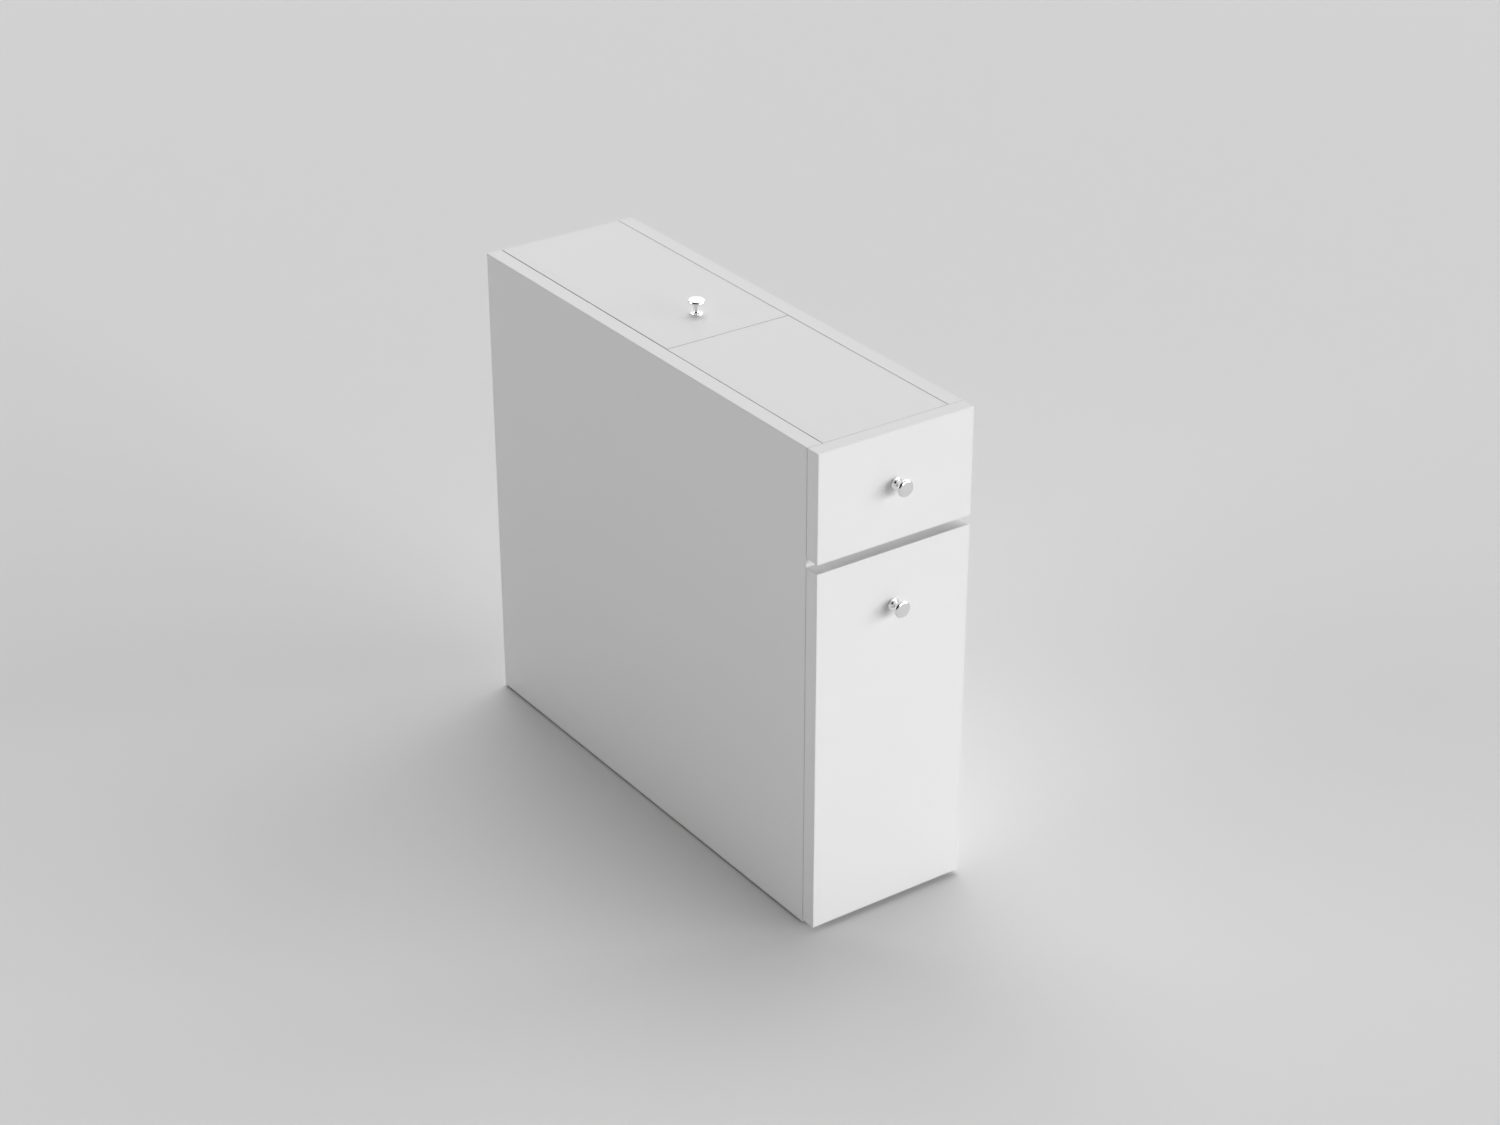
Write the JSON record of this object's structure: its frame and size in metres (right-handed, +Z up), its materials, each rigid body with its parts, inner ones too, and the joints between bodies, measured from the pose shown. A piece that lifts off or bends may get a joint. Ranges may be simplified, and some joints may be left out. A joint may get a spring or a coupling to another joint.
{
  "type": "slim bathroom cabinet",
  "caption": "Slim free-standing cabinet in white board: a drawer over a tall pull-out in front, a lift-up lid at the rear of the flush top, and round chrome knobs.",
  "frame": {"origin": "on the floor, under the middle of the whole cabinet with its knobs", "axes": "+X to the right seen from the front, +Y from the drawer fronts to the wall, +Z up"},
  "size_m": [0.19, 0.6354, 0.5668],
  "materials": {
    "carcass_board": "smooth white melamine-faced board, satin, with rounded edging",
    "front_board": "smooth white melamine-faced board, satin, with rounded edging",
    "lid_board": "smooth white melamine-faced board, satin, with rounded edging",
    "box_board": "white foil-wrapped drawer board, satin",
    "coated_hardboard": "thin white lacquered hardboard",
    "beech": "turned beech, plain",
    "polished_chrome": "polished chrome plate",
    "zinc_casting": "die-cast zinc, dull",
    "zinc_plated_steel": "bright zinc plate",
    "runner_enamel": "white epoxy coat, semi-gloss",
    "roller_nylon": "natural nylon",
    "bush_nylon": "natural nylon",
    "glide_plastic": "grey polyethylene",
    "clear_buffer": "soft translucent buffer"
  },
  "bodies": {
    "cabinet": {"back_panel": "carcass_board", "batten_screws": "zinc_plated_steel", "bottom_panel": "carcass_board", "cabinet_runner_drawer_left": "runner_enamel", "cabinet_runner_drawer_right": "runner_enamel", "cabinet_runner_pullout_left": "runner_enamel", "cabinet_runner_pullout_right": "runner_enamel", "cabinet_runner_screws": "zinc_plated_steel", "carcass_cam_bolts": "zinc_plated_steel", "carcass_cam_locks": "zinc_casting", "carcass_dowels": "beech", "divider_panel": "carcass_board", "drawer_shelf": "carcass_board", "floor_glides": "glide_plastic", "lid_bumpers": "clear_buffer", "lid_pivot_pins": "zinc_plated_steel", "lid_rest_batten": "carcass_board", "side_panel_left": "carcass_board", "side_panel_right": "carcass_board", "top_panel": "carcass_board"},
    "lid": {"lid_bushes": "bush_nylon", "lid_knob": "polished_chrome", "lid_knob_screw": "zinc_plated_steel", "lid_panel": "lid_board"},
    "drawer": {"drawer_back": "box_board", "drawer_bottom": "coated_hardboard", "drawer_cam_bolts": "zinc_plated_steel", "drawer_cam_locks": "zinc_casting", "drawer_corner_screws": "zinc_plated_steel", "drawer_dowels": "beech", "drawer_front": "front_board", "drawer_knob": "polished_chrome", "drawer_knob_screw": "zinc_plated_steel", "drawer_runner_left": "runner_enamel", "drawer_runner_right": "runner_enamel", "drawer_short_screws": "zinc_plated_steel", "drawer_side_left": "box_board", "drawer_side_right": "box_board"},
    "pullout": {"pullout_back": "box_board", "pullout_bottom": "coated_hardboard", "pullout_cam_bolts": "zinc_plated_steel", "pullout_cam_locks": "zinc_casting", "pullout_corner_screws": "zinc_plated_steel", "pullout_dowels": "beech", "pullout_front": "front_board", "pullout_knob": "polished_chrome", "pullout_knob_screw": "zinc_plated_steel", "pullout_runner_left": "runner_enamel", "pullout_runner_right": "runner_enamel", "pullout_short_screws": "zinc_plated_steel", "pullout_side_left": "box_board", "pullout_side_right": "box_board"},
    "front_roller_drawer_left": {"front_roller_drawer_left": "roller_nylon"},
    "front_roller_drawer_right": {"front_roller_drawer_right": "roller_nylon"},
    "front_roller_pullout_left": {"front_roller_pullout_left": "roller_nylon"},
    "front_roller_pullout_right": {"front_roller_pullout_right": "roller_nylon"},
    "rear_roller_drawer_left": {"rear_roller_drawer_left": "roller_nylon"},
    "rear_roller_drawer_right": {"rear_roller_drawer_right": "roller_nylon"},
    "rear_roller_pullout_left": {"rear_roller_pullout_left": "roller_nylon"},
    "rear_roller_pullout_right": {"rear_roller_pullout_right": "roller_nylon"}
  },
  "joints": [
    {"name": "drawer_slide", "type": "slide", "parent": "cabinet", "child": "drawer", "axis": [0, -1, 0], "range_m": [0, 0.185]},
    {"name": "pullout_slide", "type": "slide", "parent": "cabinet", "child": "pullout", "axis": [0, -1, 0], "range_m": [0, 0.185]},
    {"name": "lid_hinge", "type": "hinge", "parent": "cabinet", "child": "lid", "pos_m": [0, 0.3077, 0.541], "axis": [-1, 0, 0], "range_deg": [0, 95]},
    {"name": "front_roller_drawer_left_spin", "type": "hinge", "parent": "cabinet", "child": "front_roller_drawer_left", "pos_m": [-0.07055, -0.2693, 0.4522], "axis": [1, 0, 0], "continuous": true},
    {"name": "rear_roller_drawer_left_spin", "type": "hinge", "parent": "drawer", "child": "rear_roller_drawer_left", "pos_m": [-0.07055, -0.0449, 0.4523], "axis": [1, 0, 0], "continuous": true},
    {"name": "front_roller_drawer_right_spin", "type": "hinge", "parent": "cabinet", "child": "front_roller_drawer_right", "pos_m": [0.07055, -0.2693, 0.4522], "axis": [1, 0, 0], "continuous": true},
    {"name": "rear_roller_drawer_right_spin", "type": "hinge", "parent": "drawer", "child": "rear_roller_drawer_right", "pos_m": [0.07055, -0.0449, 0.4523], "axis": [1, 0, 0], "continuous": true},
    {"name": "front_roller_pullout_left_spin", "type": "hinge", "parent": "cabinet", "child": "front_roller_pullout_left", "pos_m": [-0.07055, -0.2693, 0.0512], "axis": [1, 0, 0], "continuous": true},
    {"name": "rear_roller_pullout_left_spin", "type": "hinge", "parent": "pullout", "child": "rear_roller_pullout_left", "pos_m": [-0.07055, -0.0449, 0.0513], "axis": [1, 0, 0], "continuous": true},
    {"name": "front_roller_pullout_right_spin", "type": "hinge", "parent": "cabinet", "child": "front_roller_pullout_right", "pos_m": [0.07055, -0.2693, 0.0512], "axis": [1, 0, 0], "continuous": true},
    {"name": "rear_roller_pullout_right_spin", "type": "hinge", "parent": "pullout", "child": "rear_roller_pullout_right", "pos_m": [0.07055, -0.0449, 0.0513], "axis": [1, 0, 0], "continuous": true}
  ],
  "couplings": [
    {"joint": "front_roller_drawer_left_spin", "follows": "drawer_slide", "rad_per_m": 125},
    {"joint": "rear_roller_drawer_left_spin", "follows": "drawer_slide", "rad_per_m": 111.11},
    {"joint": "front_roller_drawer_right_spin", "follows": "drawer_slide", "rad_per_m": 125},
    {"joint": "rear_roller_drawer_right_spin", "follows": "drawer_slide", "rad_per_m": 111.11},
    {"joint": "front_roller_pullout_left_spin", "follows": "pullout_slide", "rad_per_m": 125},
    {"joint": "rear_roller_pullout_left_spin", "follows": "pullout_slide", "rad_per_m": 111.11},
    {"joint": "front_roller_pullout_right_spin", "follows": "pullout_slide", "rad_per_m": 125},
    {"joint": "rear_roller_pullout_right_spin", "follows": "pullout_slide", "rad_per_m": 111.11}
  ]
}
